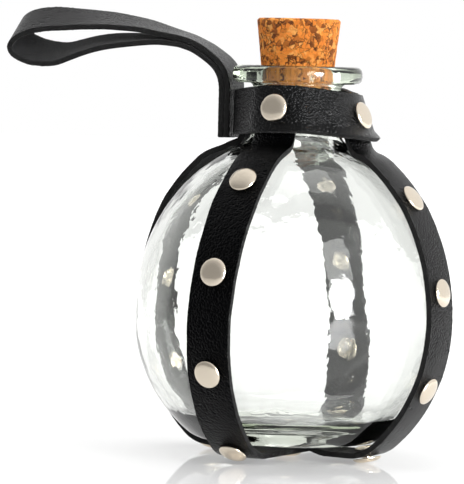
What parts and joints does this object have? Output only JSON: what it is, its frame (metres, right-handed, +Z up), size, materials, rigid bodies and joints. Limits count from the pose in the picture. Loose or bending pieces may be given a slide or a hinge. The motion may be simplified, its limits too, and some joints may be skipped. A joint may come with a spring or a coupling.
{
  "type": "potion bottle",
  "caption": "Round glass flask in a riveted black leather harness, with a tapered cork stopper and a leather belt loop at the neck.",
  "frame": {"origin": "on the flask's axis, at the surface the bottle stands on, in the middle of the base rivet's crown", "axes": "+Z up along the flask's axis; the belt loop reaches out along -X; -Y is close to the side that the picture shows"},
  "size_m": [0.1575, 0.112, 0.1463],
  "materials": {
    "clear_glass": "clear, slightly green, glossy",
    "agglomerated_cork": "raw pressed cork granules",
    "black_leather": "black, fine grain, semi-gloss, raw cut edges",
    "polished_nickel": "polished, warm nickel"
  },
  "bodies": {
    "bottle": {"glass_flask": "clear_glass", "leather_collar": "black_leather", "long_strap_front_back": "black_leather", "long_strap_left_right": "black_leather", "belt_loop_inner_end": "black_leather", "belt_loop_outer_end": "black_leather", "rivet_cap_front_1": "polished_nickel", "rivet_cap_front_2": "polished_nickel", "rivet_cap_front_3": "polished_nickel", "rivet_cap_front_4": "polished_nickel", "rivet_cap_right_1": "polished_nickel", "rivet_cap_right_2": "polished_nickel", "rivet_cap_right_3": "polished_nickel", "rivet_cap_right_4": "polished_nickel", "rivet_cap_back_1": "polished_nickel", "rivet_cap_back_2": "polished_nickel", "rivet_cap_back_3": "polished_nickel", "rivet_cap_back_4": "polished_nickel", "rivet_cap_left_1": "polished_nickel", "rivet_cap_left_2": "polished_nickel", "rivet_cap_left_3": "polished_nickel", "rivet_cap_left_4": "polished_nickel", "rivet_cap_front_collar": "polished_nickel", "rivet_cap_right_collar": "polished_nickel", "rivet_cap_back_collar": "polished_nickel", "rivet_cap_left_collar": "polished_nickel", "rivet_cap_base": "polished_nickel", "rivet_back_front_1": "polished_nickel", "rivet_back_front_2": "polished_nickel", "rivet_back_front_3": "polished_nickel", "rivet_back_front_4": "polished_nickel", "rivet_back_right_1": "polished_nickel", "rivet_back_right_2": "polished_nickel", "rivet_back_right_3": "polished_nickel", "rivet_back_right_4": "polished_nickel", "rivet_back_back_1": "polished_nickel", "rivet_back_back_2": "polished_nickel", "rivet_back_back_3": "polished_nickel", "rivet_back_back_4": "polished_nickel", "rivet_back_left_1": "polished_nickel", "rivet_back_left_2": "polished_nickel", "rivet_back_left_3": "polished_nickel", "rivet_back_left_4": "polished_nickel", "rivet_back_front_collar": "polished_nickel", "rivet_back_right_collar": "polished_nickel", "rivet_back_back_collar": "polished_nickel", "rivet_back_left_collar": "polished_nickel", "rivet_back_base": "polished_nickel"},
    "stopper": {"cork_stopper": "agglomerated_cork"},
    "belt_loop": {"belt_loop_eye": "black_leather"}
  },
  "joints": [
    {"name": "stopper_slide", "type": "slide", "parent": "bottle", "child": "stopper", "axis": [0, 0, 1], "range_m": [0, 0.06]},
    {"name": "belt_loop_bend", "type": "hinge", "parent": "bottle", "child": "belt_loop", "pos_m": [-0.02754, 0, 0.12978], "axis": [0, 1, 0], "range_deg": [-55, 60], "stiffness_Nm_per_rad": 0.05, "springref_deg": 1.38}
  ]
}
